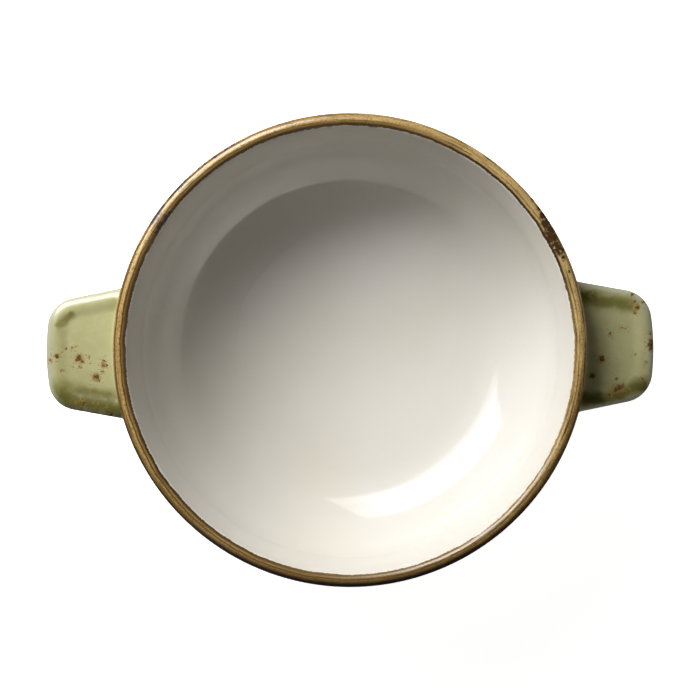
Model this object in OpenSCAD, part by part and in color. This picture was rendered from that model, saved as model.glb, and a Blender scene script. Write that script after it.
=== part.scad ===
// Lug soup bowl in glazed stoneware, in millimetres.
// The foot stands on z = 0, the bowl's axis is the Z axis, and the lugs lie along X.
// Sizes are those of the finished, glazed bowl; the clay lies one glaze thickness inside them.

/* [Bowl] */
// Diameter over the rim
rim_d = 130; // [118:1:145]
// Thickness of the wall at its rounded rim
rim_w = 3.8; // [3.2:0.1:4.6]
// Depth of the inside, from the crown of the rim to the floor
inside_depth = 49; // [42:1:60]
// Thickness of the floor
floor_t = 5; // [4:0.25:7]
// Lean of the inside of the wall, out from upright, in degrees
inside_lean = 5.5; // [4.5:0.25:8]
// Lean of the outside of the wall, out from upright, in degrees
outside_lean = 4.5; // [2.5:0.25:5.5]
// Radius of the inside between floor and wall
inside_corner_r = 24; // [16:1:27]
// Radius of the outside between underside and wall
outside_corner_r = 28; // [25:1:32]

/* [Foot] */
// Height of the foot ring below the bowl's underside
foot_h = 4; // [2.5:0.25:6]
// Diameter over the foot ring where it stands
foot_d = 79; // [70:1:86]
// Width of the foot ring where it stands
foot_w = 4; // [3:0.25:6]
// Draft of each side of the foot ring, in degrees
foot_draft = 9; // [4:1:15]
// Chamfer along both edges of the foot's standing face
foot_chamfer = 0.5; // [0.3:0.1:0.8]

/* [Lugs] */
// How far each lug's tip stands out past the rim
lug_out = 19.3; // [14:0.1:26]
// Width of each lug where it leaves the rim, seen from above
lug_w = 35.7; // [28:0.1:44]
// How much each side of a lug closes in towards its tip, in degrees
lug_taper = 11; // [6:0.5:15]
// Radius of the outline along a lug's tip
lug_tip_r = 69; // [50:1:100]
// Radius of a lug's two outline corners
lug_corner_r = 8.6; // [7:0.2:11]
// Height from the crown of the rim down to a lug's top
lug_drop = 11; // [8:0.5:14]
// Thickness of a lug at its tip
lug_tip_t = 5.4; // [4.6:0.2:7]
// Thickness of a lug at its root
lug_root_t = 8.4; // [7:0.2:11]
// Radius that blends a lug's root into the wall
lug_root_r = 2.5; // [1.5:0.25:3.25]
// Width of a lug's rounded edge, seen from above
lug_edge_w = 2.8; // [2:0.1:3.2]
// Depth of the thumb dish in a lug's top
dish_depth = 0.5; // [0.3:0.1:1]
// Width of the slope from a lug's edge down into the thumb dish
dish_slope_w = 3.4; // [2.4:0.1:3.6]

/* [Glaze] */
// Thickness of every glaze coat
glaze_t = 0.4; // [0.25:0.05:0.6]
// How far the rim's brown glaze reaches down the inside, from the crown
band_in = 2.4; // [2:0.1:5]
// How far the rim's brown glaze reaches down the outside, from the crown
band_out = 3; // [2.6:0.1:3.4]
// Height of the foot ring that is left bare of glaze
foot_bare_h = 1.2; // [0.8:0.1:2]

/* [Smoothness] */
// Segments round a full turn of the bowl
turn_segments = 180; // [96:12:240]
// Steps round a lug's rounded edge
edge_steps = 8; // [6:2:12]
// Steps down the slope of the thumb dish
dish_steps = 4; // [3:1:6]
// Steps round each outline corner of a lug
corner_steps = 6; // [4:1:8]
// Steps round the fillet at a lug's root
root_steps = 5; // [4:1:7]

/* [Hidden] */

clay_colour = [0.80, 0.71, 0.58];
cream_colour = [0.93, 0.91, 0.87];
brown_colour = [0.66, 0.52, 0.31];
green_colour = [0.66, 0.67, 0.45];

// Heights and radii of the bowl
rim_r = rim_d / 2;
under_z = foot_h;
floor_z = under_z + floor_t;
bowl_h = floor_z + inside_depth;
crown_r = rim_w / 2;
crown_mid = [rim_r - crown_r, bowl_h - crown_r];
overrun = rim_w;

// Directions square to the wall, pointing out of the bowl
inside_normal = [cos(inside_lean), -sin(inside_lean)];
outside_normal = [cos(outside_lean), -sin(outside_lean)];

// Middle of the arc, of radius r, that is tangent to the level z and to the wall's line
// through the point wall_point
function arc_mid(wall_point, lean, r, z) =
    [wall_point.x + ((z + r - wall_point.y) * sin(lean) - r) / cos(lean), z + r];

inside_mid = arc_mid(crown_mid - crown_r * inside_normal, inside_lean, inside_corner_r, floor_z);
outside_mid = arc_mid(crown_mid + crown_r * outside_normal, outside_lean, outside_corner_r, under_z);

// Foot ring, whose sides lean together by the draft
foot_mid_r = (foot_d - foot_w) / 2;
foot_top_z = floor_z;

// Lugs, in the frame of the right one
lug_reach = rim_r + lug_out;
lug_top_z = bowl_h - lug_drop;
lug_mid_z = lug_top_z - lug_root_t / 2;
tip_mid_x = lug_reach - lug_tip_r;
dish_edge = lug_edge_w + dish_slope_w;
side_steps = 3;
tip_steps = 3;
span_steps = 6;
// Where the root's fillet starts, in degrees from the wall, so that it meets the wall cleanly
root_start = 12;
// How deep the lug's form reaches into the wall, past the cut that seats it
root_sink = rim_w;

// Section of the bowl and its coats

// The quarter of a round corner between level and wall
module corner_arc(mid, r) {
    translate(mid) intersection() {
        circle(r, $fn = turn_segments);
        translate([0, -r]) square(r);
    }
}

// The bowl's inside space, grown into the wall by depth
module inside_space(depth) {
    r = inside_corner_r + depth;
    top_z = bowl_h + overrun;
    wall_top = crown_mid - (crown_r - depth) * inside_normal;
    polygon([
        [0, inside_mid.y - r],
        inside_mid - [0, r],
        inside_mid + r * inside_normal,
        wall_top,
        wall_top + (top_z - wall_top.y) * [tan(inside_lean), 1],
        [0, top_z]]);
    corner_arc(inside_mid, r);
}

// Everything within the bowl's outside up to the crown's middle, shrunk by depth
module outside_body(depth) {
    r = outside_corner_r - depth;
    past_crown = crown_mid - rim_w * inside_normal;
    polygon([
        [0, outside_mid.y - r],
        outside_mid - [0, r],
        outside_mid + r * outside_normal,
        crown_mid + (crown_r - depth) * outside_normal,
        crown_mid,
        past_crown,
        [0, past_crown.y]]);
    corner_arc(outside_mid, r);
}

// Section of the foot ring, with its sides and not its standing face shrunk by depth
module foot_section(depth) {
    half_w = foot_w / 2 - depth / cos(foot_draft);
    top_half_w = half_w + foot_top_z * tan(foot_draft);
    cut_half_w = half_w + foot_chamfer * tan(foot_draft);
    polygon([
        [foot_mid_r - half_w + foot_chamfer, 0],
        [foot_mid_r + half_w - foot_chamfer, 0],
        [foot_mid_r + cut_half_w, foot_chamfer],
        [foot_mid_r + top_half_w, foot_top_z],
        [foot_mid_r - top_half_w, foot_top_z],
        [foot_mid_r - cut_half_w, foot_chamfer]]);
}

// Section of the wall and floor, shrunk by depth on every side
module bowl_section(depth) {
    difference() {
        outside_body(depth);
        inside_space(depth);
    }
    translate(crown_mid) circle(crown_r - depth, $fn = turn_segments);
}

// Section of the coat on the bowl's underside, outside and foot
module outside_coat_section() {
    difference() {
        union() {
            outside_body(0);
            foot_section(0);
        }
        outside_body(glaze_t);
        foot_section(glaze_t);
    }
}

module turned() {
    rotate_extrude($fn = turn_segments) children();
}

// Everything within the clay's outside, from which a lug's root takes its seat
module clay_envelope() {
    turned() outside_body(glaze_t);
}

// Form of a lug
// A lug is one skin of points. Its outline, seen from above, runs down one side, round a
// corner, along the tip and back. Rings repeat that outline from the rim of the thumb dish,
// out over the rounded edge and in again on the underside. Towards the wall the section
// grows along its own normals, which makes the root's fillet.

side_slope = tan(lug_taper);

// Middle of the outline's corner arc, which is tangent to the side and to the tip
corner_base_y = lug_w / 2 + (rim_r - tip_mid_x) * side_slope - lug_corner_r / cos(lug_taper);
corner_reach = lug_tip_r - lug_corner_r;
corner_out = (side_slope * corner_base_y
    + sqrt((1 + side_slope ^ 2) * corner_reach ^ 2 - corner_base_y ^ 2)) / (1 + side_slope ^ 2);
corner_mid = [tip_mid_x + corner_out, corner_base_y - side_slope * corner_out];
corner_from = 90 - lug_taper;
corner_to = atan2(corner_mid.y, corner_out);

// Radius of the wall's outside at a height
function wall_r(z, depth) =
    rim_r - crown_r + (crown_r - depth) / cos(outside_lean)
    - (crown_mid.y - z) * tan(outside_lean);

// A point of the side line, set in by d, at a distance from the bowl's axis
function side_point(d, reach) =
    let (
        base_y = lug_w / 2 + rim_r * side_slope - d / cos(lug_taper),
        x = (side_slope * base_y
            + sqrt((1 + side_slope ^ 2) * reach ^ 2 - base_y ^ 2)) / (1 + side_slope ^ 2)
    ) [x, base_y - side_slope * x];

function corner_point(d, angle) =
    corner_mid + (lug_corner_r - d) * [cos(angle), sin(angle)];

function tip_point(d, angle) =
    [tip_mid_x, 0] + (lug_tip_r - d) * [cos(angle), sin(angle)];

// Rings: distance in from the outline, share of half the thickness, how far the dish
// lowers the point, and the shares of a fillet's push that go outwards and upwards
function eased(share) = (1 - cos(180 * share)) / 2;

function rings(depth) = concat(
    [for (i = [dish_steps : -1 : 1]) let (share = i / dish_steps)
        [lug_edge_w + dish_slope_w * share, 1, dish_depth * eased(share), 0, 1]],
    [for (i = [0 : edge_steps]) let (a = 90 - 180 * i / edge_steps)
        [lug_edge_w - (lug_edge_w - depth) * cos(a), sin(a), 0, cos(a), sin(a)]],
    [[dish_edge, -1, 0, 0, -1]]);

// Stations from the root to the tip's middle: the kind of outline, distance past the wall,
// push of the fillet, and either the share of the way to the corner or the outline's angle
SIDE = 0;
CORNER = 1;
TIP = 2;

function stations(depth) =
    let (
        r = lug_root_r + depth,
        start = [r * (1 - cos(root_start)), r * (1 - sin(root_start))],
        skim = start.x * 3
    ) concat(
        [[SIDE, -root_sink, start.y + skim / tan(root_start), 0],
         [SIDE, start.x - skim, start.y + skim / tan(root_start), 0]],
        [for (i = [0 : root_steps]) let (a = root_start + (90 - root_start) * i / root_steps)
            [SIDE, r * (1 - cos(a)), r * (1 - sin(a)), 0]],
        [for (i = [1 : side_steps - 1]) [SIDE, r, 0, i / side_steps]],
        [for (i = [0 : corner_steps])
            [CORNER, 0, 0, corner_from + (corner_to - corner_from) * i / corner_steps]],
        [for (i = [1 : tip_steps]) [TIP, 0, 0, corner_to * (1 - i / tip_steps)]]);

// Where a station's outline lies, set in by d, beside a wall of the given radius
function outline_point(station, d, wall) =
    station[0] == SIDE
        ? let (corner_start = norm(corner_point(d, corner_from)))
            side_point(d, (wall + station[1]) * (1 - station[3]) + corner_start * station[3])
        : station[0] == CORNER ? corner_point(d, station[3])
        : tip_point(d, station[3]);

// Thickness of the lug at a station, from the root's at the wall to the tip's
function station_t(station) =
    let (
        wall = wall_r(lug_mid_z, 0),
        out = norm(outline_point(station, 0, wall)) - wall,
        share = min(1, max(0, out / (lug_reach - wall)))
    ) lug_root_t + (lug_tip_t - lug_root_t) * share;

function lug_point(station, ring, depth) =
    let (
        t = station_t(station),
        z = lug_top_z - t / 2 + (t / 2 - depth) * ring[1] - ring[2] + station[2] * ring[4],
        d = ring[0] - station[2] * ring[3],
        xy = outline_point(station, d, wall_r(z, depth))
    ) [xy.x, xy.y, z];

// A point of the dish's floor or of the underside, across the lug on an arc round the bowl
function span_point(edge_point, share) =
    let (y = edge_point.y * share, reach = norm([edge_point.x, edge_point.y]))
    [sqrt(reach ^ 2 - y ^ 2), y, edge_point.z];

module lug_form(depth) {
    ring_list = rings(depth);
    half = stations(depth);
    ring_n = len(ring_list);
    half_n = len(half);
    last = 2 * half_n - 2;
    across = span_steps - 1;
    skin = [for (s = [0 : last], ring = ring_list)
        let (p = lug_point(half[min(s, last - s)], ring, depth))
        [p.x, s < half_n ? -p.y : p.y, p.z]];
    span = [for (ring = [ring_list[0], ring_list[ring_n - 1]], s = [0 : half_n - 2],
            j = [1 : across])
        span_point(lug_point(half[s], ring, depth), 2 * j / span_steps - 1)];
    function at(s, r) = s * ring_n + r;
    function over(side, s, j) =
        s == half_n - 1 || j == 0 ? at(s, side * (ring_n - 1))
        : j == span_steps ? at(last - s, side * (ring_n - 1))
        : len(skin) + side * (half_n - 1) * across + s * across + j - 1;
    function two(a, b, c, d) = [[a, c, b], [a, d, c]];
    skin_faces = [for (s = [0 : last - 1], r = [0 : ring_n - 2])
        each two(at(s, r), at(s, r + 1), at(s + 1, r + 1), at(s + 1, r))];
    top_faces = [for (s = [0 : half_n - 3], j = [0 : across])
        each two(over(0, s, j), over(0, s + 1, j), over(0, s + 1, j + 1), over(0, s, j + 1))];
    under_faces = [for (s = [0 : half_n - 3], j = [0 : across])
        each two(over(1, s, j), over(1, s, j + 1), over(1, s + 1, j + 1), over(1, s + 1, j))];
    tip_faces = [for (j = [0 : across]) each [
        [over(0, half_n - 2, j), over(0, half_n - 2, j + 1), over(0, half_n - 1, j)],
        [over(1, half_n - 2, j), over(1, half_n - 1, j), over(1, half_n - 2, j + 1)]]];
    root_faces = [for (j = [0 : across])
        each two(over(0, 0, j), over(0, 0, j + 1), over(1, 0, j + 1), over(1, 0, j))];
    root_sides = [for (r = [0 : ring_n - 3]) each [
        [at(0, ring_n - 1), at(0, r), at(0, r + 1)],
        [at(last, ring_n - 1), at(last, r + 1), at(last, r)]]];
    polyhedron(concat(skin, span),
        concat(skin_faces, top_faces, under_faces, tip_faces, root_faces, root_sides));
}

// The pieces

module lug_clay() {
    color(clay_colour) difference() {
        lug_form(glaze_t);
        clay_envelope();
    }
}

module lug_coat() {
    color(green_colour) difference() {
        lug_form(0);
        lug_form(glaze_t);
        clay_envelope();
    }
}

// Bowl as thrown, before its foot and lugs are joined to it
module bowl_body() {
    color(clay_colour) turned() bowl_section(glaze_t);
}

// Foot ring, seated on the underside, with its standing face bare
module foot_ring() {
    color(clay_colour) turned() difference() {
        foot_section(glaze_t);
        outside_body(glaze_t);
    }
}

module left_lug() {
    rotate(180) lug_clay();
}

module right_lug() {
    lug_clay();
}

module inner_glaze() {
    color(cream_colour) turned() intersection() {
        difference() {
            inside_space(glaze_t);
            inside_space(0);
        }
        square([rim_r, bowl_h - band_in]);
    }
}

module rim_glaze() {
    color(brown_colour) turned() intersection() {
        difference() {
            bowl_section(0);
            bowl_section(glaze_t);
        }
        polygon([
            [crown_mid.x - rim_w, bowl_h - band_in],
            [crown_mid.x, bowl_h - band_in],
            [crown_mid.x, bowl_h - band_out],
            [crown_mid.x + rim_w, bowl_h - band_out],
            [crown_mid.x + rim_w, bowl_h + overrun],
            [crown_mid.x - rim_w, bowl_h + overrun]]);
    }
}

module outer_glaze() {
    color(green_colour) difference() {
        turned() intersection() {
            outside_coat_section();
            translate([foot_mid_r, foot_bare_h])
                square([rim_r - foot_mid_r + overrun, bowl_h - band_out - foot_bare_h]);
        }
        lug_form(0);
        rotate(180) lug_form(0);
    }
}

module left_lug_glaze() {
    rotate(180) lug_coat();
}

module right_lug_glaze() {
    lug_coat();
}

// Coat on the underside within the foot ring
module base_glaze() {
    color(green_colour) turned() intersection() {
        outside_coat_section();
        translate([0, foot_bare_h]) square([foot_mid_r, floor_t + foot_h]);
    }
}

bowl_body();
foot_ring();
left_lug();
right_lug();
inner_glaze();
rim_glaze();
outer_glaze();
left_lug_glaze();
right_lug_glaze();
base_glaze();
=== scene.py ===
# Looks of the lug soup bowl. The clay pieces keep their solids and get a bare clay finish.
# Each glaze coat is replaced by a smooth, closed mesh of the same form, with its own glaze.
import math
import bmesh
import bpy
from mathutils import Matrix, Vector


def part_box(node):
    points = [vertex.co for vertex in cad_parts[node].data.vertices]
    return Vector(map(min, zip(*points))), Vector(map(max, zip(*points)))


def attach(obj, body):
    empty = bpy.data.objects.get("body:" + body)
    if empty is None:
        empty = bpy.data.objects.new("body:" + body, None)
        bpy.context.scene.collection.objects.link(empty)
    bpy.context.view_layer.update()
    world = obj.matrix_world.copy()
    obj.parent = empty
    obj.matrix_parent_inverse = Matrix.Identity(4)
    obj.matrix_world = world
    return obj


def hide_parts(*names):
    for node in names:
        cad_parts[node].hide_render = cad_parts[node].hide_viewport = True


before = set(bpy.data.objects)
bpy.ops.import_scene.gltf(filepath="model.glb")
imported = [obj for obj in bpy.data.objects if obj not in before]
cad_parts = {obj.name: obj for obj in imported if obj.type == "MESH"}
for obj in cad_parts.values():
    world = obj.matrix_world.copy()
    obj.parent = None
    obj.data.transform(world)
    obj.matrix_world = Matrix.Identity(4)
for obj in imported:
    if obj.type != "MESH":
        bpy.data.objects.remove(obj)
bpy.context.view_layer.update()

# Sizes of the bowl, in metres and degrees
MM = 0.001
GLAZE = 0.4 * MM
RIM_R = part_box("rim_glaze")[1].x
RIM_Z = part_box("rim_glaze")[1].z
FLOOR_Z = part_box("inner_glaze")[0].z + GLAZE
BARE_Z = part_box("base_glaze")[0].z
UNDER_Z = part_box("base_glaze")[1].z - GLAZE
BAND_IN_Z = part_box("inner_glaze")[1].z
BAND_OUT_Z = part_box("outer_glaze")[1].z
CROWN_R = 1.9 * MM
INSIDE_LEAN = 5.5
OUTSIDE_LEAN = 4.5
INSIDE_CORNER_R = 24 * MM
OUTSIDE_CORNER_R = 28 * MM
FOOT_R = 39.5 * MM
FOOT_W = 4 * MM
FOOT_DRAFT = 9
FOOT_ROOT_R = 1.2 * MM

# Sizes of a lug
LUG_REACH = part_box("right_lug_glaze")[1].x
LUG_DROP = 11 * MM
LUG_TOP_Z = RIM_Z - LUG_DROP
LUG_W = 35.7 * MM
LUG_TAPER = 11
LUG_TIP_R = 69 * MM
LUG_CORNER_R = 8.6 * MM
LUG_TIP_T = 5.4 * MM
LUG_ROOT_T = 8.4 * MM
LUG_ROOT_R = 2.5 * MM
LUG_EDGE_W = 2.8 * MM
LUG_LIP = 0.55
DISH_DEPTH = 0.5 * MM
DISH_SLOPE_W = 3.4 * MM

# Steps along the sections and round the axis
TURN_STEPS = 256
RIM_TURN_STEPS = 512
FLOOR_STEPS = 16
INSIDE_CORNER_STEPS = 48
INSIDE_WALL_STEPS = 12
CROWN_STEPS = 24
BAND_STEPS = 4
OUTSIDE_WALL_STEPS = 16
OUTSIDE_CORNER_STEPS = 40
HOLLOW_STEPS = 8
FOOT_STEPS = 4
BASE_STEPS = 12

# Rounds of the search for the middle of the hollow outside the foot
FOOT_ROOT_ROUNDS = 20

# Distances in metres within which points are joined and edges are dropped
JOIN_WITHIN = 1e-7
DROP_WITHIN = 1e-8

# Angles in degrees past which an edge is sharp
TURNED_SHARP = 40
LUG_SHARP = 60

# Angle in degrees between the wall and the start of the lug's fillet
FILLET_START = 4

# How far the fillet is drawn out into the wall, in times its first distance from the wall
FILLET_SUNK = 6

# A point of the lug's round edge moves to the low oval when it is higher up the round than this
OVAL_ABOVE = 0.01

crown_mid = Vector((RIM_R - CROWN_R, RIM_Z - CROWN_R))


def direction(degrees):
    """Unit vector in a section's plane, at that angle from the radius outwards."""
    return Vector((math.cos(math.radians(degrees)), math.sin(math.radians(degrees))))


def arc(mid, r, start, end, steps):
    """Points round an arc of a section, from one angle to the other."""
    return [mid + r * direction(start + (end - start) * i / steps) for i in range(steps + 1)]


def line(a, b, steps):
    """Points from a to b, without a itself."""
    return [a.lerp(b, (i + 1) / steps) for i in range(steps)]


def corner_mid(wall_point, lean, r, level):
    """Middle of the arc that is tangent to a level and to the wall's line."""
    s, c = math.sin(math.radians(lean)), math.cos(math.radians(lean))
    return Vector((wall_point.x + ((level + r - wall_point.y) * s - r) / c, level + r))


def at_height(a, b, z):
    """The point at height z on the line through a and b."""
    return a.lerp(b, (z - a.y) / (b.y - a.y))


inside_top = crown_mid - CROWN_R * direction(-INSIDE_LEAN)
outside_top = crown_mid + CROWN_R * direction(-OUTSIDE_LEAN)
inside_mid = corner_mid(inside_top, INSIDE_LEAN, INSIDE_CORNER_R, FLOOR_Z)
outside_mid = corner_mid(outside_top, OUTSIDE_LEAN, OUTSIDE_CORNER_R, UNDER_Z)
inside_foot = inside_mid + INSIDE_CORNER_R * direction(-INSIDE_LEAN)
outside_foot = outside_mid + OUTSIDE_CORNER_R * direction(-OUTSIDE_LEAN)


def inside_line():
    """The glazed surface from the middle of the floor up to the rim's band."""
    floor = line(Vector((0, FLOOR_Z)), Vector((inside_mid.x, FLOOR_Z)), FLOOR_STEPS)
    corner = arc(inside_mid, INSIDE_CORNER_R, -90, -INSIDE_LEAN, INSIDE_CORNER_STEPS)
    wall = line(corner[-1], at_height(inside_foot, inside_top, BAND_IN_Z), INSIDE_WALL_STEPS)
    return [Vector((0, FLOOR_Z))] + floor + corner[1:] + wall


def rim_line():
    """The glazed surface over the rim, from the inside edge of its band to the outside one."""
    start = at_height(inside_foot, inside_top, BAND_IN_Z)
    crown = arc(crown_mid, CROWN_R, 180 - INSIDE_LEAN, -OUTSIDE_LEAN, CROWN_STEPS)
    end = at_height(outside_foot, outside_top, BAND_OUT_Z)
    return [start] + line(start, crown[0], BAND_STEPS) + crown[1:] + line(crown[-1], end, BAND_STEPS)


def foot_side(side, z):
    """Radius of the foot's outer side (1) or inner side (-1) at a height."""
    middle = FOOT_R - FOOT_W / 2
    return middle + side * (FOOT_W / 2 + z * math.tan(math.radians(FOOT_DRAFT)))


def foot_root(side):
    """Middle of the round between the foot's side and what it hangs from."""
    r = FOOT_ROOT_R
    lean = math.radians(FOOT_DRAFT)
    if side < 0:
        z = UNDER_Z - r
        return Vector((foot_side(side, z) - r / math.cos(lean), z))
    z = UNDER_Z
    for _ in range(FOOT_ROOT_ROUNDS):
        x = foot_side(side, z) + r / math.cos(lean)
        z = outside_mid.y - math.sqrt((OUTSIDE_CORNER_R + r) ** 2 - (x - outside_mid.x) ** 2)
    return Vector((x, z))


def outside_line():
    """The glazed surface from the rim's band down the outside to the foot's bare part."""
    root = foot_root(1)
    toward = root - outside_mid
    touch = math.degrees(math.atan2(toward.y, toward.x))
    start = at_height(outside_foot, outside_top, BAND_OUT_Z)
    wall = line(start, outside_foot, OUTSIDE_WALL_STEPS)
    corner = arc(outside_mid, OUTSIDE_CORNER_R, -OUTSIDE_LEAN, touch, OUTSIDE_CORNER_STEPS)
    hollow = arc(root, FOOT_ROOT_R, touch + 180, 180 + FOOT_DRAFT, HOLLOW_STEPS)
    end = Vector((foot_side(1, BARE_Z), BARE_Z))
    return [start] + wall + corner[1:] + hollow[1:] + line(hollow[-1], end, FOOT_STEPS)


def base_line():
    """The glazed surface from the foot's bare part up its inner side and across the base."""
    root = foot_root(-1)
    start = Vector((foot_side(-1, BARE_Z), BARE_Z))
    hollow = arc(root, FOOT_ROOT_R, -FOOT_DRAFT, 90, HOLLOW_STEPS)
    side = line(start, hollow[0], FOOT_STEPS)
    across = line(hollow[-1], Vector((0, UNDER_Z)), BASE_STEPS)
    return [start] + side + hollow[1:] + across


def coat_section(skin):
    """A closed section: the glazed surface, and the same line one coat deeper."""
    deep = []
    for i, p in enumerate(skin):
        along = skin[min(i + 1, len(skin) - 1)] - skin[max(i - 1, 0)]
        inward = Vector((along.y, -along.x)).normalized()
        q = p + GLAZE * inward
        deep.append(Vector((0 if p.x == 0 else q.x, q.y)))
    return skin + deep[::-1]


def new_object(name, mesh, node):
    """A piece of the bowl that stands for a CAD node."""
    made = bpy.data.objects.new(name, mesh)
    bpy.context.scene.collection.objects.link(made)
    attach(made, "root")
    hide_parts(node)
    return made


def tidy_mesh(mesh, sharp):
    """Joins doubled points, turns the faces outwards and shades them smooth."""
    work = bmesh.new()
    work.from_mesh(mesh)
    bmesh.ops.remove_doubles(work, verts=work.verts, dist=JOIN_WITHIN)
    bmesh.ops.dissolve_degenerate(work, edges=work.edges, dist=DROP_WITHIN)
    bmesh.ops.recalc_face_normals(work, faces=work.faces)
    work.to_mesh(mesh)
    work.free()
    mesh.shade_smooth()
    mesh.set_sharp_from_angle(angle=math.radians(sharp))


def turned_coat(name, skin, node, steps=TURN_STEPS):
    """A coat made by turning its section round the bowl's axis."""
    section = coat_section(skin)
    count = len(section)
    points = []
    for k in range(steps):
        c, s = direction(360 * k / steps)
        points += [(p.x * c, p.x * s, p.y) for p in section]
    faces = []
    for k in range(steps):
        a, b = k * count, (k + 1) % steps * count
        for i in range(count):
            j = (i + 1) % count
            if section[i].x > 0 or section[j].x > 0:
                faces.append((a + i, b + i, b + j, a + j))
    mesh = bpy.data.meshes.new(name)
    mesh.from_pydata(points, [], faces)
    tidy_mesh(mesh, TURNED_SHARP)
    return new_object(name, mesh, node)


# Form of a lug, as in the solid but for its upper edge, with finer steps
side_slope = math.tan(math.radians(LUG_TAPER))
side_cos = math.cos(math.radians(LUG_TAPER))
tip_mid_x = LUG_REACH - LUG_TIP_R


def on_slope(base, reach):
    """How far out the line base - slope * x lies at that distance from its own origin."""
    k = 1 + side_slope ** 2
    return (side_slope * base + math.sqrt(k * reach ** 2 - base ** 2)) / k


corner_base = LUG_W / 2 + (RIM_R - tip_mid_x) * side_slope - LUG_CORNER_R / side_cos
corner_out = on_slope(corner_base, LUG_TIP_R - LUG_CORNER_R)
lug_corner = Vector((tip_mid_x + corner_out, corner_base - side_slope * corner_out))
corner_from = 90 - LUG_TAPER
corner_to = math.degrees(math.atan2(lug_corner.y, corner_out))


def side_point(d, reach):
    """A point of the side line, set in by d, at a distance from the bowl's axis."""
    base = LUG_W / 2 + RIM_R * side_slope - d / side_cos
    x = on_slope(base, reach)
    return Vector((x, base - side_slope * x))


def wall_r(z):
    """Radius of the wall's outside at a height."""
    lean = math.radians(OUTSIDE_LEAN)
    return crown_mid.x + CROWN_R / math.cos(lean) - (crown_mid.y - z) * math.tan(lean)


def outline_point(kind, past, share, d, wall):
    """Where a station's outline lies, set in by d, beside a wall of that radius."""
    if kind == "corner":
        return lug_corner + (LUG_CORNER_R - d) * direction(share)
    if kind == "tip":
        return Vector((tip_mid_x, 0)) + (LUG_TIP_R - d) * direction(share)
    corner_start = (lug_corner + (LUG_CORNER_R - d) * direction(corner_from)).length
    return side_point(d, (wall + past) * (1 - share) + corner_start * share)


def lug_stations(root_steps=14, side_steps=10, corner_steps=18, tip_steps=10):
    """From the root to the tip: kind, distance past the wall, push of the fillet, place."""
    r = LUG_ROOT_R
    start = r * (Vector((1, 1)) - direction(FILLET_START))
    sunk = start.x * FILLET_SUNK
    inner = start.y + sunk / math.tan(math.radians(FILLET_START))
    stations = [("side", -CROWN_R, inner, 0), ("side", start.x - sunk, inner, 0)]
    for i in range(root_steps + 1):
        angle = FILLET_START + (90 - FILLET_START) * i / root_steps
        past, push = r * (Vector((1, 1)) - direction(angle))
        stations.append(("side", past, push, 0))
    stations += [("side", r, 0, i / side_steps) for i in range(1, side_steps)]
    stations += [("corner", 0, 0, corner_from + (corner_to - corner_from) * i / corner_steps)
                 for i in range(corner_steps + 1)]
    stations += [("tip", 0, 0, corner_to * (1 - i / tip_steps)) for i in range(1, tip_steps + 1)]
    return stations


def lug_rings(edge_steps=20, dish_steps=12):
    """Distance in, share of half the thickness, sag of the dish, and the fillet's direction.

    The upper edge is a low oval, LUG_LIP of half the thickness high, over an upright side.
    """
    rings = []
    for i in range(dish_steps, 0, -1):
        share = i / dish_steps
        sag = DISH_DEPTH * (1 - math.cos(math.pi * share)) / 2
        rings.append((LUG_EDGE_W + DISH_SLOPE_W * share, 1, sag, 0, 1))
    for i in range(edge_steps + 1):
        out, up = direction(90 - 180 * i / edge_steps)
        level = 1 - (1 - up) * LUG_LIP if up > OVAL_ABOVE else up
        rings.append((LUG_EDGE_W * (1 - out), level, 0, out, up))
    rings.append((LUG_EDGE_W + DISH_SLOPE_W, -1, 0, 0, -1))
    return rings


def lug_point(station, ring):
    """A point of the lug's skin: the station says where round the outline, the ring how far in."""
    kind, past, push, share = station
    inset, level, sag, out, up = ring
    middle = wall_r(LUG_TOP_Z - LUG_ROOT_T / 2)
    run = outline_point(kind, past, share, 0, middle).length - middle
    taken = min(1, max(0, run / (LUG_REACH - middle)))
    t = LUG_ROOT_T + (LUG_TIP_T - LUG_ROOT_T) * taken
    z = LUG_TOP_Z - t / 2 + t / 2 * level - sag + push * up
    place = outline_point(kind, past, share, inset - push * out, wall_r(z))
    return Vector((place.x, place.y, z))


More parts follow.
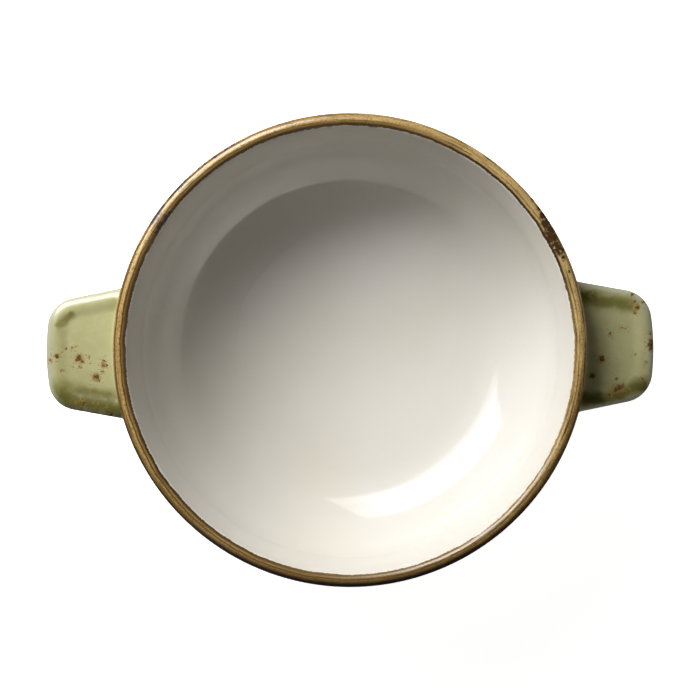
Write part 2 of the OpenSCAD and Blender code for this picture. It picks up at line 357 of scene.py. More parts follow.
def lug_mesh(name, span_steps=16):
    """The skin of one lug, closed inside the wall."""
    half, ring_list = lug_stations(), lug_rings()
    rings, halves = len(ring_list), len(half)
    last = 2 * halves - 2
    points, insets = [], []
    for s in range(last + 1):
        for ring in ring_list:
            p = lug_point(half[min(s, last - s)], ring)
            points.append((p.x, -p.y if s < halves else p.y, p.z))
            insets.append(ring[0] + 2 * half[min(s, last - s)][2])
    skin = len(points)
    for ring in (ring_list[0], ring_list[-1]):
        for s in range(halves - 1):
            p = lug_point(half[s], ring)
            for j in range(1, span_steps):
                y = p.y * (2 * j / span_steps - 1)
                points.append((math.sqrt(p.x ** 2 + p.y ** 2 - y ** 2), y, p.z))
                insets.append(min(abs(p.y) - abs(y), LUG_REACH - p.x) + ring[0])

    def at(s, r):
        return s * rings + r

    def over(side, s, j):
        if s == halves - 1 or j == 0:
            return at(s, side * (rings - 1))
        if j == span_steps:
            return at(last - s, side * (rings - 1))
        return skin + (side * (halves - 1) + s) * (span_steps - 1) + j - 1

    faces = [(at(s, r), at(s + 1, r), at(s + 1, r + 1), at(s, r + 1))
             for s in range(last) for r in range(rings - 1)]
    for side in (0, 1):
        for j in range(span_steps):
            faces += [(over(side, s, j), over(side, s + 1, j), over(side, s + 1, j + 1),
                       over(side, s, j + 1)) for s in range(halves - 2)]
            faces.append((over(side, halves - 2, j), over(side, halves - 1, j),
                          over(side, halves - 2, j + 1)))
    faces += [(over(0, 0, j), over(0, 0, j + 1), over(1, 0, j + 1), over(1, 0, j))
              for j in range(span_steps)]
    for s in (0, last):
        faces += [(at(s, rings - 1), at(s, r), at(s, r + 1)) for r in range(rings - 2)]
    mesh = bpy.data.meshes.new(name)
    mesh.from_pydata(points, [], faces)
    mesh.attributes.new("inset", "FLOAT", "POINT").data.foreach_set("value", insets)
    tidy_mesh(mesh, LUG_SHARP)
    return mesh


def lug_coat(name, node, turn):
    """A lug's coat, turned about the bowl's axis."""
    mesh = lug_mesh(name)
    mesh.transform(Matrix.Rotation(math.radians(turn), 4, "Z"))
    return new_object(name, mesh, node)


# Colours of the glazes and of the clay, as linear red, green and blue
CREAM = (0.68, 0.658, 0.615)
CREAM_DEEP = (0.66, 0.629, 0.56)
CREAM_FLECK = (0.62, 0.57, 0.45)
OCHRE = (0.50, 0.335, 0.12)
OCHRE_DARK = (0.36, 0.225, 0.075)
OCHRE_PALE = (0.68, 0.49, 0.22)
MOSS = (0.34, 0.25, 0.06)
UMBER = (0.13, 0.07, 0.022)
DARK = (0.028, 0.015, 0.006)
BROWN_BLACK = (0.045, 0.019, 0.009)
INK = (0.036, 0.029, 0.034)
SAGE = (0.372, 0.358, 0.178)
SAGE_DEEP = (0.314, 0.30, 0.142)
SAGE_PALE = (0.445, 0.426, 0.26)
SAGE_EDGE = (0.345, 0.34, 0.255)
OLIVE = (0.175, 0.16, 0.047)
OLIVE_DEEP = (0.088, 0.082, 0.018)
RUST = (0.24, 0.125, 0.022)
RUST_PALE = (0.27, 0.16, 0.045)
RUST_DARK = (0.075, 0.036, 0.009)
STAIN = (0.21, 0.15, 0.035)
CLAY = (0.52, 0.42, 0.30)
CLAY_PALE = (0.66, 0.56, 0.43)
CLAY_GRIT = (0.30, 0.20, 0.12)

# Streaks round the rim and the wall: lines per metre across, and per radian along
FINE_STREAKS = (1750, 7)
BROAD_STREAKS = (420, 3)
SWAY_STREAKS = (90, 12)
BREAK_STREAKS = (260, 9)
INSIDE_STREAKS = (60, 14)

# Broad streaks where the rim's ground starts to turn from dark ochre and is ochre
RIM_DRIFT = (0.38, 0.62)

# Layers of the rim's ground: pattern, where it starts and is full, share, colour
RIM_GROUND = (("fine", 0.48, 0.34, 0.9, UMBER), ("fine", 0.58, 0.70, 0.6, OCHRE_PALE),
              ("speckle", 0.50, 0.66, 0.6, MOSS), ("grain", 0.52, 0.62, 0.6, UMBER))

# Sides of the rim: direction in degrees, and the cosines to it where a mark starts and is full
RIM_PALE = (42, 0.55, 0.95)
RIM_LINED = (-172, -0.25, 0.45)
# RIM_LIT and RIM_SHADED are the sides where light and shade are painted on the rim's inner edge
RIM_LIT = (-47, 0.35, 0.85)
RIM_SHADED = (134, 0.1, 0.8)
# The next three sides carry dark glaze and painted shade on the outer edge of the shaded side
RIM_DARK_AND_SHADED_SIDE = (-92, -0.15, 0.45)
RIM_BROWNED_AND_SHADED = (-92, 0.5, 0.95)
RIM_BURNT_AND_SHADED = (-92, 0.62, 0.93)

# The same for a mark that the rim has on this side and on the opposite one
RIM_ENDS = (90, 0.80, 0.97)

# Distances from the axis, in millimetres, where a mark on the rim starts and is full
CREAM_LIP = (61.54, 61.42)
# The ochre lip below is painted light, and the shaded lip is painted shade, on the rim's inner edge
OCHRE_LIP = (61.82, 61.70)
DARK_LIP = (62.3, 62.0)
SHADED_LIP = (63.1, 62.3)
OUTER_SIDE = (63.6, 64.9)
# The next three carry dark glaze and painted shade on the outer edge of the shaded side
SCORCHED_AND_SHADED_EDGE = (63.8, 64.7)
DARK_AND_SHADED_EDGE = (64.6, 65.1)
BURNT_AND_SHADED_EDGE = (64.0, 64.6)

# Depths below the rim's top, in millimetres, where a mark starts and is full
OUTER_DEPTHS = (0.9, 2.3)
# The next depths bound the darkest glaze and painted shade on the shaded side
BURNT_AND_SHADED_DEPTHS = (5.5, 2.5)
MARK_DEPTHS = (3.3, 1.7)

# How far noise moves the lines and edges on the rim
RIM_SWAY = 0.9 * MM
RIM_RAGGED = 0.5 * MM
EDGE_DRIFT = 1.2 * MM
BURNT_AND_SHADED_FRAY = 0.6 * MM

# How much wider the dark edge, dark glaze with painted shade, is in the middle of its side
EDGE_LEAN = 0.7 * MM

# Dark lines round the rim: distance from the axis and half width in millimetres, and share
RIM_LINES = ((62.85, 0.27, 0.9), (62.3, 0.14, 0.3), (64.45, 0.34, 0.9), (63.8, 0.14, 0.35))

# Part of a line's half width where it is full, and the noise where its pieces start and are full
LINE_CORE = 0.3
LINE_BREAKS = (0.34, 0.60)

# Dark patches on the rim: azimuth in degrees, distance from the axis and radius in millimetres
RIM_PATCH = ((22.5, 63.6, 1.0), (24.5, 63.4, 1.8), (26, 63.0, 2.0), (28, 63.1, 2.2), (30, 63.4, 2.2),
             (32, 63.8, 1.9), (34, 64.4, 1.6), (36, 64.8, 1.2), (38.5, 64.9, 0.9), (19, 63.5, 0.7))
RIM_MARKS = ((148, 65.0, 0.9), (146.5, 64.9, 1.3), (145, 64.8, 1.5), (143.5, 64.7, 1.5), (142, 64.9, 1.3),
             (138, 65.0, 1.2), (136.5, 65.0, 1.2), (135, 64.9, 1.2), (133.5, 65.0, 1.1), (129, 65.1, 0.9),
             (127, 65.0, 0.8), (124, 65.1, 0.8), (121, 65.0, 0.9), (119, 65.0, 1.0), (117.5, 65.1, 0.8),
             (148, 61.9, 0.9), (146.5, 61.9, 1.1), (145, 61.9, 1.2), (143.5, 61.9, 1.2), (142, 61.9, 0.9),
             (153, 65.1, 0.7))

# Noise where the clots of the patch start and are full
PATCH_CLOTS = (0.66, 0.58)

# Rust spots and stains on the lugs: x, y and radius in millimetres
LUG_SPOTS = ((-83.2, -1.6, 0.4), (-81.3, -0.5, 0.75), (-80.0, -4.5, 0.3), (-78.7, 1.5, 0.3),
             (-77.1, 1.9, 0.35), (-76.0, 2.0, 0.3), (-75.1, -1.1, 1.1), (-74.4, -2.2, 0.7),
             (-76.0, -1.7, 0.5), (-72.5, -0.9, 0.35), (-72.1, -2.6, 0.3), (-77.0, -3.6, 0.3),
             (-74.9, -3.6, 0.45), (-68.4, -1.9, 0.5), (-68.5, -3.2, 0.7), (-67.5, -3.3, 0.45),
             (-68.7, -4.9, 0.4), (-70.5, -6.5, 1.15), (-69.8, -7.4, 0.45), (-74.1, -13.7, 0.6),
             (-74.5, -12.6, 0.4), (-71.2, -16.7, 0.6), (-66.6, -17.1, 0.6), (79.1, 12.1, 0.6),
             (79.8, 10.7, 0.75), (79.3, 9.1, 0.45), (78.4, 14.3, 0.4), (81.6, 12.1, 0.5),
             (75.5, 5.0, 0.4), (76.5, 4.9, 0.3), (72.2, 3.5, 0.4), (83.3, 1.3, 0.7),
             (83.4, 0.2, 0.95), (83.3, -0.9, 0.6), (69.8, -3.5, 0.95), (67.9, -2.5, 0.3),
             (67.0, -8.1, 0.9), (79.0, -2.3, 0.25), (82.2, -4.6, 0.35), (80.9, -9.1, 0.45),
             (73.8, -9.0, 0.5), (74.4, -11.6, 1.1), (73.5, -12.1, 0.9), (75.6, -11.2, 0.7),
             (71.8, -13.5, 0.5), (83.5, 3.4, 0.35))
LUG_STAINS = ((-75.2, -13.5, 2.2), (-71.5, -14.6, 2.4), (-68.0, -15.2, 2.2), (-66.0, -13.5, 1.6),
              (78.6, 11.2, 2.0), (74.0, -12.0, 2.4), (76.8, -12.6, 1.8), (82.6, 0.8, 1.6))

# Part of a spot's radius where it is full, and how many times as wide its bleed is
SPOT_CORE = 0.45
SPOT_BLEED = 1.6

# Radius of the halo of flecks round a spot: times the spot's own, and millimetres more
HALO_TIMES = 1.8
HALO_EXTRA = 1.3

# Pools of thick glaze on the lugs, partly painted shade on their slopes and borders: x and y of both ends
# and half the width, in millimetres
LUG_POOLS_AND_SHADE = ((-80.5, -10.7, -65.0, -14.3, 5.4), (-80.6, 8.0, -77.0, 10.9, 1.7),
             (64.0, 13.6, 77.5, 11.4, 3.6), (72.5, -13.2, 81.5, -10.5, 3.3), (64.0, -15.0, 75.0, -13.8, 3.0))
# Deeper pools, also partly painted shade, given the same way
LUG_DEEP_POOLS_AND_SHADE = ((-79.0, -12.0, -65.0, -15.2, 4.8), (74.0, -12.6, 80.8, -10.9, 2.4),
            (64.0, -14.0, 69.0, -14.5, 2.4), (64.0, 14.0, 67.0, 13.8, 2.0))

# Part of the half width of a pool or band of painted shade where it is full
BAND_CORE = 0.15

# Distances in from a lug's edge, in millimetres, where its glaze changes, and where the olive band of glaze
# and painted shade on the dish's slope starts and ends
LUG_THIN = (2.3, 0.9)
LUG_SIDE_START = (2.0, 3.2)
LUG_SIDE_END = (7.0, 3.8)
LUG_POOL_AND_SHADE_START = (0.3, 1.6)

# How far noise moves those borders
LUG_STIR = 3 * MM

# Depths below a lug's top, in millimetres, where its spots start and are full
LUG_SPOT_DEPTHS = (3.8, 1.8)

# Strength of the flecks below that, where 1 is their strength round a spot
FLECKS_BELOW = 0.45

# Flecks on the outside: pattern, where it starts and is full, share, colour
OUTSIDE_FLECKS = (("fleck", 0.60, 0.65, 0.85, RUST), ("spot", 0.66, 0.73, 0.6, RUST_PALE),
                  ("spot", 0.71, 0.75, 0.9, RUST_DARK))

# Depths below the rim's band, in millimetres, where the outside starts to be brown and is brown
NEAR_RIM_DEPTHS = (6, 0.5)

# The same near the foot: distances in from its side, and heights above its bare part
NEAR_FOOT_IN = (8, 5)
NEAR_FOOT_HEIGHTS = (3.6, 0.8)

# How far noise moves those borders, and the share of it that moves the one under the bowl
OUTSIDE_WAVE = 12 * MM
FOOT_WAVE = 0.3

# Height of the deeper cream below the rim's band, and how far streaks move its border
INSIDE_DEEP = 24 * MM
INSIDE_WAVE = 3.5 * MM

# The faint ring that shaping left on the floor
FLOOR_RING_X = 2.4 * MM
FLOOR_RING_R = 36.0 * MM
FLOOR_RING_W = 0.7 * MM
FLOOR_RING_SIDE = (170, 0.1, 0.9)
FLOOR_RING_RISE = 2.2


# Finishes
class Graph:
    """Short calls for building a material's nodes."""

    def __init__(self, name):
        self.material = bpy.data.materials.new(name)
        self.material.use_nodes = True
        self.tree = self.material.node_tree
        self.shader = self.tree.nodes["Principled BSDF"]
        self.place = self.add("ShaderNodeTexCoord").outputs["Object"]

    def add(self, kind, **settings):
        node = self.tree.nodes.new(kind)
        for key, value in settings.items():
            setattr(node, key, value)
        return node

    def put(self, socket, value):
        if isinstance(value, bpy.types.NodeSocket):
            self.tree.links.new(value, socket)
        elif isinstance(value, (tuple, list)) and len(value) == 3 and socket.type == "RGBA":
            socket.default_value = (*value, 1)
        else:
            socket.default_value = value

    def math(self, operation, a, b=0.0, clamp=False):
        node = self.add("ShaderNodeMath", operation=operation, use_clamp=clamp)
        self.put(node.inputs[0], a)
        self.put(node.inputs[1], b)
        return node.outputs[0]

    def plus(self, a, b):
        return self.math("ADD", a, b)

    def times(self, a, b):
        return self.math("MULTIPLY", a, b)

    def vector(self, operation, a, b=(0, 0, 0)):
        node = self.add("ShaderNodeVectorMath", operation=operation)
        self.put(node.inputs[0], a)
        self.put(node.inputs["Scale" if operation == "SCALE" else 1], b)
        single = operation in ("LENGTH", "DISTANCE", "DOT_PRODUCT")
        return node.outputs["Value" if single else "Vector"]

    def noise(self, scale, detail=3.0, rough=0.5, shift=(0, 0, 0)):
        """Noise whose scale is in cycles per metre."""
        node = self.add("ShaderNodeTexNoise")
        self.put(node.inputs["Vector"], self.vector("ADD", self.place, shift))
        self.put(node.inputs["Scale"], scale)
        self.put(node.inputs["Detail"], detail)
        self.put(node.inputs["Roughness"], rough)
        return node.outputs["Fac"]

    def swing(self, noise, width):
        """Noise brought to the middle: from half the width below 0 to half above."""
        return self.times(self.math("SUBTRACT", noise, 0.5), width)

    def ramp(self, value, start, full):
        """0 at start and before it, 1 at full and past it, whichever of the two is larger."""
        node = self.add("ShaderNodeMapRange", interpolation_type="SMOOTHSTEP")
        self.put(node.inputs["Value"], value)
        self.put(node.inputs["From Min"], start)
        self.put(node.inputs["From Max"], full)
        return node.outputs["Result"]

    def ramp_mm(self, value, pair):
        """A ramp between two distances in millimetres."""
        return self.ramp(value, pair[0] * MM, pair[1] * MM)

    def short_of(self, value, limit, pair):
        """A ramp between two distances in millimetres short of a limit, such as a height."""
        return self.ramp(value, limit - pair[0] * MM, limit - pair[1] * MM)

    def mix(self, share, a, b):
        node = self.add("ShaderNodeMix", data_type="RGBA")
        self.put(node.inputs["Factor"], share)
        self.put(node.inputs[6], a)
        self.put(node.inputs[7], b)
        return node.outputs[2]

    def tint(self, colour, other, mask, share):
        """The colour with a share of the other laid over it where the mask is 1."""
        return self.mix(self.times(mask, share), colour, other)

    def finish(self, colour, rough, ior, height=None, distance=0.0):
        self.put(self.shader.inputs["Base Color"], colour)
        self.put(self.shader.inputs["Roughness"], rough)
        self.shader.inputs["IOR"].default_value = ior
        if height is not None:
            bump = self.add("ShaderNodeBump")
            bump.inputs["Distance"].default_value = distance
            bump.inputs["Strength"].default_value = 1
            self.put(bump.inputs["Height"], height)
            self.put(self.shader.inputs["Normal"], bump.outputs["Normal"])
        return self.material


def in_plan(g, place):
    """A place with its height left out."""
    return g.vector("MULTIPLY", place, (1, 1, 0))


def radius_of(g):
    """Distance from the bowl's axis."""
    return g.vector("LENGTH", in_plan(g, g.place))


def way_of(g):
    """Direction from the bowl's axis, as a unit vector."""
    return g.vector("NORMALIZE", in_plan(g, g.place))


def height_of(g):
    node = g.add("ShaderNodeSeparateXYZ")
    g.put(node.inputs[0], g.place)
    return node.outputs["Z"]


def facing(g, side):
    """Cosine between the direction from the axis and a side of the bowl."""
    return g.vector("DOT_PRODUCT", way_of(g), (*direction(side[0]), 0))


def towards(g, side):
    """1 on one side of the bowl and 0 away from it."""
    return g.ramp(facing(g, side), side[1], side[2])


def brushed(g, lines, along):
    """Noise in long streaks round the rim: lines per metre across, and per radian along."""
    node = g.add("ShaderNodeTexNoise", noise_dimensions="4D")
    lift = g.add("ShaderNodeCombineXYZ")
    g.put(lift.inputs["Z"], g.times(height_of(g), lines / along))
    g.put(node.inputs["Vector"], g.vector("ADD", way_of(g), lift.outputs["Vector"]))
    g.put(node.inputs["W"], g.times(radius_of(g), lines / along))
    g.put(node.inputs["Scale"], along)
    g.put(node.inputs["Detail"], 3)
    g.put(node.inputs["Roughness"], 0.55)
    return node.outputs["Fac"]


def stirred(g, ragged, scale):
    """The place in plan, pushed about by noise by up to that distance, for ragged outlines."""
    noise = g.add("ShaderNodeTexNoise")
    g.put(noise.inputs["Vector"], g.place)
    g.put(noise.inputs["Scale"], scale)
    g.put(noise.inputs["Detail"], 2)
    middle = g.vector("SUBTRACT", noise.outputs["Color"], (0.5, 0.5, 0.5))
    push = g.vector("MULTIPLY", middle, (2 * ragged, 2 * ragged, 0))
    return in_plan(g, g.vector("ADD", g.place, push))


def spots(g, places, ragged, scale):
    """A mask that is 1 in ragged spots, each given as x, y and radius in millimetres."""
    flat = stirred(g, ragged, scale)
    found = 0.0
    for x, y, size in places:
        away = g.vector("DISTANCE", flat, (x * MM, y * MM, 0))
        found = g.math("MAXIMUM", found, g.ramp_mm(away, (size, size * SPOT_CORE)))
    return found


def bands(g, places, ragged, scale):
    """A mask that is 1 in soft bands, each given as its two ends and half its width in mm."""
    flat = stirred(g, ragged, scale)
    found = 0.0
    for x, y, end_x, end_y, half in places:
        start = (x * MM, y * MM, 0)
        along = Vector((end_x - x, end_y - y, 0)) * MM
        from_start = g.vector("SUBTRACT", flat, start)
        reach = g.vector("DOT_PRODUCT", from_start, tuple(along / along.length_squared))
        share = g.math("ADD", reach, 0.0, clamp=True)
        nearest = g.vector("ADD", g.vector("SCALE", tuple(along), share), start)
        away = g.vector("DISTANCE", flat, nearest)
        found = g.math("MAXIMUM", found, g.ramp_mm(away, (half, half * BAND_CORE)))
    return found


def crown_places(marks):
    """Spots over the rim, from azimuth in degrees, distance from the axis and radius in mm."""
    return [(r * direction(turn).x, r * direction(turn).y, size) for turn, r, size in marks]


def rim_ground(g, fine, broad, grain):
    """Brushed ochre with umber, pale and mossy streaks."""
    patterns = {"fine": fine, "speckle": g.noise(900, 2, 0.6), "grain": grain}
    colour = g.mix(g.ramp(broad, *RIM_DRIFT), OCHRE_DARK, OCHRE)
    for pattern, start, full, share, layer in RIM_GROUND:
        colour = g.tint(colour, layer, g.ramp(patterns[pattern], start, full), share)
    return colour


def rim_lines(g, colour, swayed):
    """The dark lines round the rim, unbroken on the lined side and broken elsewhere."""
    lined = towards(g, RIM_LINED)
    colour = g.tint(colour, UMBER, lined, share=0.15)
    pieces = g.ramp(brushed(g, *BREAK_STREAKS), *LINE_BREAKS)
    shown = g.math("MAXIMUM", g.times(lined, 0.9), g.times(pieces, 0.8))
    for middle, half, share in RIM_LINES:
        off = g.math("ABSOLUTE", g.math("SUBTRACT", swayed, middle * MM))
        mask = g.times(g.ramp_mm(off, (half, half * LINE_CORE)), shown)
        colour = g.tint(colour, DARK, mask, share)
    return colour


def rim_lip(g, colour, ragged):
    """The dark inner edge of the glaze, made darker and wider by painted shade where the rim is in shade,
    and given a painted light ochre lip where it is lit.
    """
    # Painted shade darkens and widens the inner edge on the shaded side; painted light makes the lip ochre
    # on the lit side
    lit = towards(g, RIM_LIT)
    depth = g.math("SUBTRACT", 0.95, g.times(lit, 0.5))
    colour = g.mix(g.times(g.ramp_mm(ragged, DARK_LIP), depth), colour, DARK)
    shaded = g.times(towards(g, RIM_SHADED), g.ramp_mm(ragged, SHADED_LIP))
    colour = g.tint(colour, UMBER, shaded, share=0.7)
    return g.tint(colour, OCHRE_DARK, g.times(lit, g.ramp_mm(ragged, OCHRE_LIP)), share=0.7)


def rim_outer_edge(g, colour, swayed, fine, broad):
    """The umber outer side, and the dark glaze with painted shade along the edge on the shaded side of the
    bowl.
    """
    z = height_of(g)
    outer = g.times(g.ramp_mm(radius_of(g), OUTER_SIDE), g.short_of(z, RIM_Z, OUTER_DEPTHS))
    colour = g.tint(colour, UMBER, outer, share=0.7)
    ends = g.ramp(g.math("ABSOLUTE", facing(g, RIM_ENDS)), *RIM_ENDS[1:])
    colour = g.tint(colour, UMBER, ends, share=0.3)
    # Dark glaze and painted shade along the outer edge, on the shaded side
    edge = g.plus(swayed, g.swing(broad, EDGE_DRIFT))
    edge = g.plus(edge, g.times(facing(g, RIM_DARK_AND_SHADED_SIDE), EDGE_LEAN))
    low = towards(g, RIM_DARK_AND_SHADED_SIDE)
    colour = g.tint(colour, UMBER, g.times(low, g.ramp_mm(edge, SCORCHED_AND_SHADED_EDGE)), share=0.8)
    colour = g.tint(colour, DARK, g.times(low, g.ramp_mm(edge, DARK_AND_SHADED_EDGE)), share=0.85)
    colour = g.tint(colour, UMBER, towards(g, RIM_BROWNED_AND_SHADED), share=0.45)
    frayed = g.plus(swayed, g.times(fine, BURNT_AND_SHADED_FRAY))
    burnt_and_shaded = g.times(towards(g, RIM_BURNT_AND_SHADED), g.ramp_mm(frayed, BURNT_AND_SHADED_EDGE))
    burnt_and_shaded = g.times(burnt_and_shaded, g.short_of(z, RIM_Z, BURNT_AND_SHADED_DEPTHS))
    return g.tint(colour, INK, burnt_and_shaded, share=0.92)


def rim_marks(g, colour):
    """The dark clotted patch and the row of marks on top of the rim."""
    top = g.short_of(height_of(g), RIM_Z, MARK_DEPTHS)
    patch = g.times(spots(g, crown_places(RIM_PATCH), 0.7 * MM, 800), top)
    clotted = g.times(patch, g.ramp(g.noise(900, 3, 0.6), *PATCH_CLOTS))
    colour = g.tint(colour, BROWN_BLACK, clotted, share=0.97)
    marks = g.times(spots(g, crown_places(RIM_MARKS), 1.3 * MM, 600), top)
    return g.tint(colour, INK, marks, share=0.85)


def rim_colour(g):
    """The brushed ochre and brown of the rim with its darker lines and marks, painted light and shade at its
    edges, and its streaks.
    """
    fine = brushed(g, *FINE_STREAKS)
    broad = brushed(g, *BROAD_STREAKS)
    grain = g.noise(1800, 2, 0.6)
    swayed = g.plus(radius_of(g), g.swing(brushed(g, *SWAY_STREAKS), RIM_SWAY))
    ragged = g.plus(swayed, g.swing(grain, RIM_RAGGED))
    colour = rim_ground(g, fine, broad, grain)
    colour = g.tint(colour, OCHRE_PALE, towards(g, RIM_PALE), share=0.25)
    colour = rim_lines(g, colour, swayed)
    colour = rim_lip(g, colour, ragged)
    colour = rim_outer_edge(g, colour, swayed, fine, broad)
    colour = rim_marks(g, colour)
    return g.mix(g.ramp_mm(ragged, CREAM_LIP), colour, CREAM_DEEP), fine


def floor_ring(g):
    """Height of the faint ring on the floor, shown on one side."""
    away = g.vector("DISTANCE", in_plan(g, g.place), (FLOOR_RING_X, 0, 0))
    off = g.math("ABSOLUTE", g.math("SUBTRACT", away, FLOOR_RING_R))
    rise = g.times(towards(g, FLOOR_RING_SIDE), FLOOR_RING_RISE)
    return g.times(g.ramp(off, FLOOR_RING_W, 0.0), rise)


def cream_glaze():
    g = Graph("cream_glaze")
    drift = g.noise(30, 2)
    colour = g.mix(g.ramp(drift, 0.3, 0.7), CREAM_DEEP, CREAM)
    colour = g.tint(colour, CREAM_FLECK, g.ramp(g.noise(700, 2), 0.70, 0.76), share=0.25)
    rise = g.plus(height_of(g), g.swing(brushed(g, *INSIDE_STREAKS), INSIDE_WAVE))
    colour = g.mix(g.ramp(rise, BAND_IN_Z - INSIDE_DEEP, BAND_IN_Z), colour, CREAM_DEEP)
    rough = g.plus(0.05, g.times(drift, 0.03))
    height = g.plus(g.noise(110, 2), floor_ring(g))
    return g.finish(colour, rough, ior=1.55, height=height, distance=0.03 * MM)


def brown_glaze():
    g = Graph("brown_glaze")
    colour, streak = rim_colour(g)
    rough = g.plus(0.14, g.times(streak, 0.16))
    return g.finish(colour, rough, ior=1.47, height=streak, distance=0.06 * MM)


def green_colour(g):
    """Sage green that is paler and darker in broad drifts."""
    colour = g.mix(g.ramp(g.noise(55, 3), 0.32, 0.68), SAGE_DEEP, SAGE)
    return g.tint(colour, SAGE_PALE, g.ramp(g.noise(420, 3, 0.6), 0.45, 0.7), share=0.25)


def outside_glaze():
    """Green on the wall, running into brown at the rim and above the foot, with brown flecks."""
    g = Graph("outside_glaze")
    colour = green_colour(g)
    colour = g.tint(colour, OLIVE, g.ramp(g.noise(80, 3, shift=(0, 0.7, 0)), 0.56, 0.70), share=0.5)
    field = g.ramp(g.noise(60, 2, shift=(0.3, 0, 0)), 0.50, 0.62)
    patterns = {"fleck": g.noise(1100, 3, 0.65), "spot": g.noise(330, 3, 0.6, shift=(0, 0, 0.4))}
    for pattern, start, full, share, layer in OUTSIDE_FLECKS:
        mask = g.times(field, g.ramp(patterns[pattern], start, full))
        colour = g.tint(colour, layer, mask, share)
    wave = g.swing(g.noise(75, 3), OUTSIDE_WAVE)
    rise = g.plus(height_of(g), wave)
    colour = g.mix(g.short_of(rise, BAND_OUT_Z, NEAR_RIM_DEPTHS), colour, rim_colour(g)[0])
    beside = g.short_of(g.plus(radius_of(g), g.times(wave, FOOT_WAVE)), FOOT_R, NEAR_FOOT_IN)
    low = g.ramp(rise, BARE_Z + NEAR_FOOT_HEIGHTS[0] * MM, BARE_Z + NEAR_FOOT_HEIGHTS[1] * MM)
    colour = g.tint(colour, UMBER, g.times(beside, low), share=0.8)
    return g.finish(colour, rough=0.12, ior=1.55, height=g.noise(260, 2), distance=0.03 * MM)


def lug_green(g):
    """Green that is thin and pale at a lug's edge and gathers in pools inside it, with painted shade in the
    olive band on the dish's slope and in the pools.
    """
    inset = g.add("ShaderNodeAttribute", attribute_name="inset").outputs["Fac"]
    stir = g.swing(g.noise(260, 3), LUG_STIR)
    depth_in = g.plus(inset, stir)
    # Olive band on the dish's slope: glaze gathering there, and painted shade of the slope
    side = g.times(g.ramp_mm(depth_in, LUG_SIDE_START), g.ramp_mm(depth_in, LUG_SIDE_END))
    side = g.times(side, g.ramp(g.noise(120, 2, shift=(0.11, 0.2, 0)), 0.42, 0.60))
    colour = g.tint(green_colour(g), OLIVE, side, share=0.3)
    thin = g.ramp_mm(g.plus(inset, g.times(stir, 0.25)), LUG_THIN)
    colour = g.tint(colour, SAGE_EDGE, thin, share=0.7)
    # Olive pools of glaze, partly painted shade
    pools_and_shade = g.times(bands(g, LUG_POOLS_AND_SHADE, 1.2 * MM, 320), g.ramp_mm(inset, LUG_POOL_AND_SHADE_START))
    pools_and_shade = g.times(pools_and_shade, g.ramp(g.noise(330, 3, 0.65), 0.0, 0.55))
    colour = g.mix(pools_and_shade, colour, OLIVE)
    # Deeper olive pools, partly painted shade
    deep = g.times(bands(g, LUG_DEEP_POOLS_AND_SHADE, 1.8 * MM, 300), g.ramp(g.noise(500, 3, 0.6), 0.20, 0.52))
    return g.tint(colour, OLIVE_DEEP, deep, share=0.9)


def lug_glaze():
    """The green of a lug, with rust-brown stains, flecks and spots."""
    g = Graph("lug_glaze")
    colour = lug_green(g)
    over = g.short_of(height_of(g), LUG_TOP_Z, LUG_SPOT_DEPTHS)
    stain = g.times(spots(g, LUG_STAINS, 2.0 * MM, 500), g.ramp(g.noise(1100, 3, 0.65), 0.46, 0.62))
    colour = g.tint(colour, STAIN, g.times(stain, over), share=0.6)
    haloes = [(x, y, size * HALO_TIMES + HALO_EXTRA) for x, y, size in LUG_SPOTS]
    beneath = g.times(g.math("SUBTRACT", 1.0, over), FLECKS_BELOW)
    halo = g.math("MAXIMUM", g.times(spots(g, haloes, 1.6 * MM, 700), over), beneath)
    fleck = g.times(halo, g.ramp(g.noise(1700, 2, 0.55), 0.59, 0.65))
    colour = g.tint(colour, RUST, fleck, share=0.8)
    bleeds = [(x, y, size * SPOT_BLEED) for x, y, size in LUG_SPOTS]
    colour = g.tint(colour, RUST_PALE, g.times(spots(g, bleeds, 0.9 * MM, 1100), over), share=0.6)
    core = g.times(spots(g, LUG_SPOTS, 0.9 * MM, 1300), g.ramp(g.noise(1900, 2), 0.28, 0.42))
    colour = g.tint(colour, RUST_DARK, g.times(core, over), share=0.92)
    return g.finish(colour, rough=0.24, ior=1.48, height=g.noise(300, 2), distance=0.03 * MM)


def bare_clay():
    g = Graph("bare_clay")
    grit = g.noise(2500, 4, 0.7)
    colour = g.mix(g.ramp(grit, 0.3, 0.7), CLAY, CLAY_PALE)
    colour = g.mix(g.ramp(g.noise(5200, 2, 0.6), 0.66, 0.72), colour, CLAY_GRIT)
    return g.finish(colour, rough=0.85, ior=1.5, height=grit, distance=0.06 * MM)


def dress():
    clay, green, lug_finish = bare_clay(), outside_glaze(), lug_glaze()
    for name in ("bowl_body", "foot_ring", "left_lug", "right_lug"):
        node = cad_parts[name]
        node.data.materials.clear()
        node.data.materials.append(clay)
    coats = [
        (turned_coat("inside_coat", inside_line(), "inner_glaze"), cream_glaze()),
        (turned_coat("rim_coat", rim_line(), "rim_glaze", RIM_TURN_STEPS), brown_glaze()),
        (turned_coat("outside_coat", outside_line(), "outer_glaze"), green),
        (turned_coat("base_coat", base_line(), "base_glaze"), green),
        (lug_coat("left_lug_coat", "left_lug_glaze", 180), lug_finish),
        (lug_coat("right_lug_coat", "right_lug_glaze", 0), lug_finish)]
    for piece, finish in coats:
        piece.data.materials.append(finish)


# Studio, in metres, degrees and watts
CAMERA_UP = 0.8
PIXELS = 700
PIXELS_PER_M = 3657
ROLL = 0.84
AIM = (0, 0, 50 * MM)
LUG_AIM = (72 * MM, 0, LUG_TOP_Z)
FLOOR_SIZE = 6
FLOOR_PAINT = (0.9, 0.9, 0.9)
FLOOR_GLOW = 0.95
BACKDROP_GLOW = 0.95
WHITE = (1, 1, 1, 1)


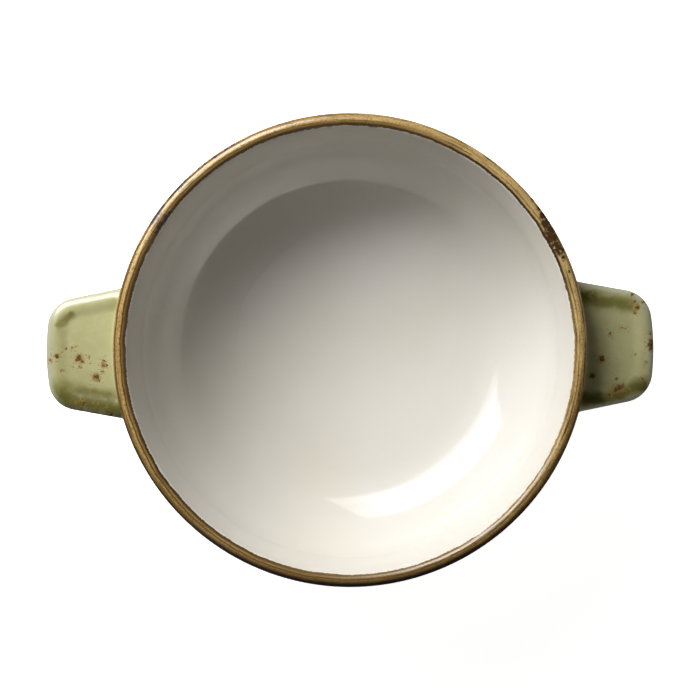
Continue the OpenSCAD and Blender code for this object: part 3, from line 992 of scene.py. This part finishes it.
def make_camera():
    camera = bpy.data.cameras.new("camera")
    camera.sensor_width = 36
    camera.lens = camera.sensor_width * CAMERA_UP * PIXELS_PER_M / PIXELS
    camera.clip_start, camera.clip_end = 0.01, 100
    holder = bpy.data.objects.new("camera", camera)
    bpy.context.scene.collection.objects.link(holder)
    holder.location = (0, 0, RIM_Z + CAMERA_UP)
    holder.rotation_euler = (0, 0, -math.radians(ROLL))
    bpy.context.scene.camera = holder


def softbox(name, azimuth, elevation, distance, size, power, roll=0, aim=AIM):
    """A rectangular light aimed at a point. Azimuth 0 is +X and 90 is +Y."""
    lamp = bpy.data.lights.new(name, "AREA")
    lamp.shape = "RECTANGLE"
    lamp.size, lamp.size_y = size
    lamp.energy = power
    holder = bpy.data.objects.new(name, lamp)
    bpy.context.scene.collection.objects.link(holder)
    flat, up = direction(azimuth), direction(elevation)
    away = Vector((flat.x * up.x, flat.y * up.x, up.y))
    holder.location = Vector(aim) + away * distance
    turn = (-away).to_track_quat("-Z", "Y").to_matrix().to_4x4()
    holder.rotation_euler = (turn @ Matrix.Rotation(math.radians(roll), 4, "Z")).to_euler()
    holder.visible_camera = False
    return holder


def make_lights():
    """The main light, a paler one round it, one for reflections alone and one for the right lug."""
    softbox("key", azimuth=127, elevation=38, distance=0.423, size=(0.322, 0.225), power=2.53,
            roll=-28.4)
    gleam = softbox("gleam", azimuth=121.8, elevation=37.3, distance=0.425, size=(0.42, 0.35),
                    power=1.2)
    gleam.visible_diffuse = False
    softbox("screen", azimuth=129.7, elevation=38.8, distance=0.43, size=(0.37, 0.42), power=1.035)
    fill = softbox("fill", azimuth=-10, elevation=58, distance=0.14, size=(0.05, 0.05),
                   power=0.0026, aim=LUG_AIM)
    fill.data.spread = math.radians(56)
    fill.visible_glossy = False


def make_floor():
    """A pale floor that glows a little, so that shadows on it stay faint. It is clear from below."""
    bpy.ops.mesh.primitive_plane_add(size=FLOOR_SIZE)
    floor = bpy.context.object
    floor.name = "floor"
    g = Graph("floor")
    g.shader.inputs["Emission Color"].default_value = WHITE
    g.shader.inputs["Emission Strength"].default_value = FLOOR_GLOW
    finish = g.finish(FLOOR_PAINT, rough=0.8, ior=1.3)
    blend = g.add("ShaderNodeMixShader")
    g.put(blend.inputs[0], g.add("ShaderNodeNewGeometry").outputs["Backfacing"])
    g.tree.links.new(g.shader.outputs["BSDF"], blend.inputs[1])
    g.tree.links.new(g.add("ShaderNodeBsdfTransparent").outputs["BSDF"], blend.inputs[2])
    g.tree.links.new(blend.outputs["Shader"], g.tree.nodes["Material Output"].inputs["Surface"])
    floor.data.materials.append(finish)
    floor.visible_glossy = False


def make_backdrop():
    """A pale world that only the camera sees."""
    world = bpy.data.worlds.new("studio")
    world.use_nodes = True
    background = world.node_tree.nodes["Background"]
    background.inputs["Color"].default_value = WHITE
    background.inputs["Strength"].default_value = BACKDROP_GLOW
    bpy.context.scene.world = world
    world.cycles_visibility.diffuse = False
    world.cycles_visibility.glossy = False
    bpy.context.scene.view_settings.view_transform = "Standard"


dress()
make_camera()
make_floor()
make_lights()
make_backdrop()
